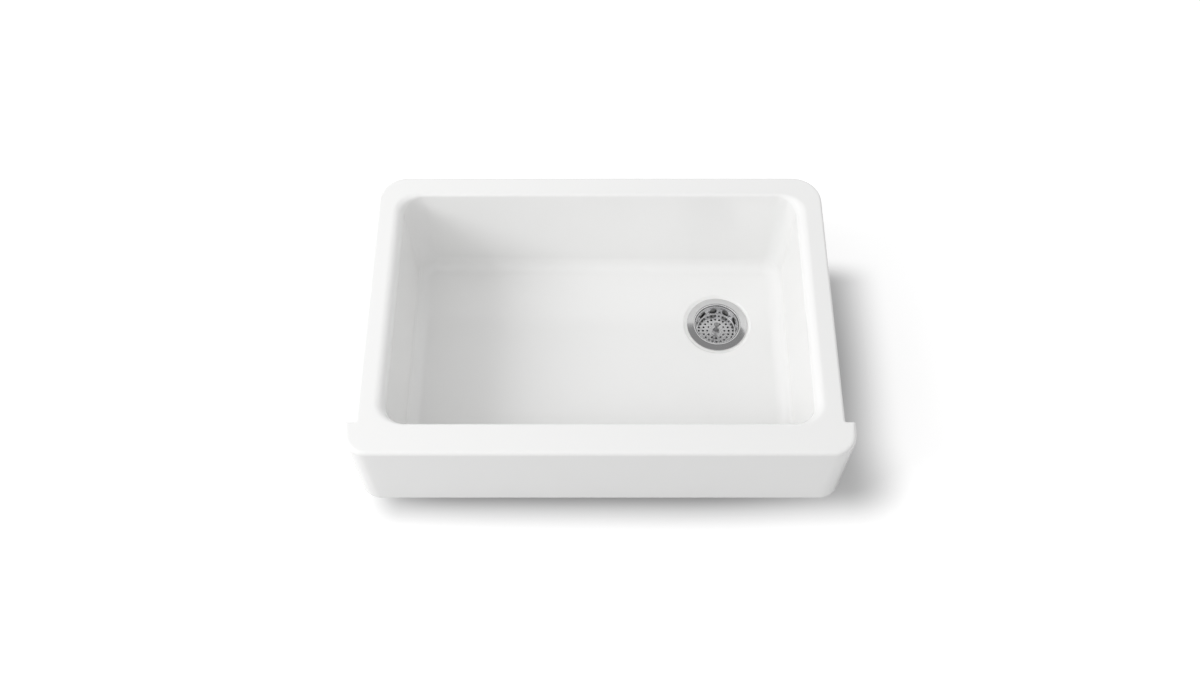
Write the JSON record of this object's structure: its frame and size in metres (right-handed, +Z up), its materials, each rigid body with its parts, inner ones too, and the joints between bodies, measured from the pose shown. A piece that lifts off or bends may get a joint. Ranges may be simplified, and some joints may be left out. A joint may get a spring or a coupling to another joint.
{
  "type": "apron front kitchen sink",
  "caption": "Single-bowl farmhouse kitchen sink in white enamelled cast iron with a winged apron front and a lift-out basket strainer with stopper at the right rear.",
  "frame": {"origin": "on the centre line, in the rim's plane and in the cabinet's face plane, which the backs of the apron's wings lie against", "axes": "+X right as seen from the front, +Y back into the cabinet, +Z up out of the bowl"},
  "size_m": [0.828, 0.5478, 0.4025],
  "materials": {
    "enamel": "glossy white enamel fired on cast iron, underside in a matt grey ground coat",
    "plated_brass": "plated cast brass, polished with a fine turned grain",
    "stainless": "polished stainless steel",
    "cast_brass": "as-cast and machined brass, slightly dull",
    "drawn_brass": "drawn brass tube, plated bright",
    "rubber": "matt black rubber",
    "seal": "soft grey-beige sealing ring",
    "fibre": "pressed brown fibre",
    "nylon": "natural white nylon"
  },
  "bodies": {
    "root": {"sink_casting": "enamel", "strainer_body": "plated_brass", "flange_seal": "seal", "lower_gasket": "rubber", "friction_ring": "fibre", "locknut": "cast_brass", "tailpiece_washer": "nylon", "tailpiece": "drawn_brass", "coupling_nut": "cast_brass"},
    "stopper": {"stopper": "rubber", "stopper_plate": "stainless"},
    "basket": {"basket_shell": "stainless", "basket_post": "stainless", "basket_knob": "stainless", "post_washer": "stainless", "post_spacer": "stainless", "stopper_washer": "stainless", "stem_nut": "stainless", "catch_clip": "stainless"}
  },
  "joints": [
    {"name": "basket_lift", "type": "slide", "parent": "root", "child": "stopper", "axis": [0, 0, 1], "range_m": [0, 0.3]},
    {"name": "basket_turn", "type": "hinge", "parent": "stopper", "child": "basket", "pos_m": [0.2225, 0.315, -0.2315], "axis": [0, 0, 1], "continuous": true}
  ]
}
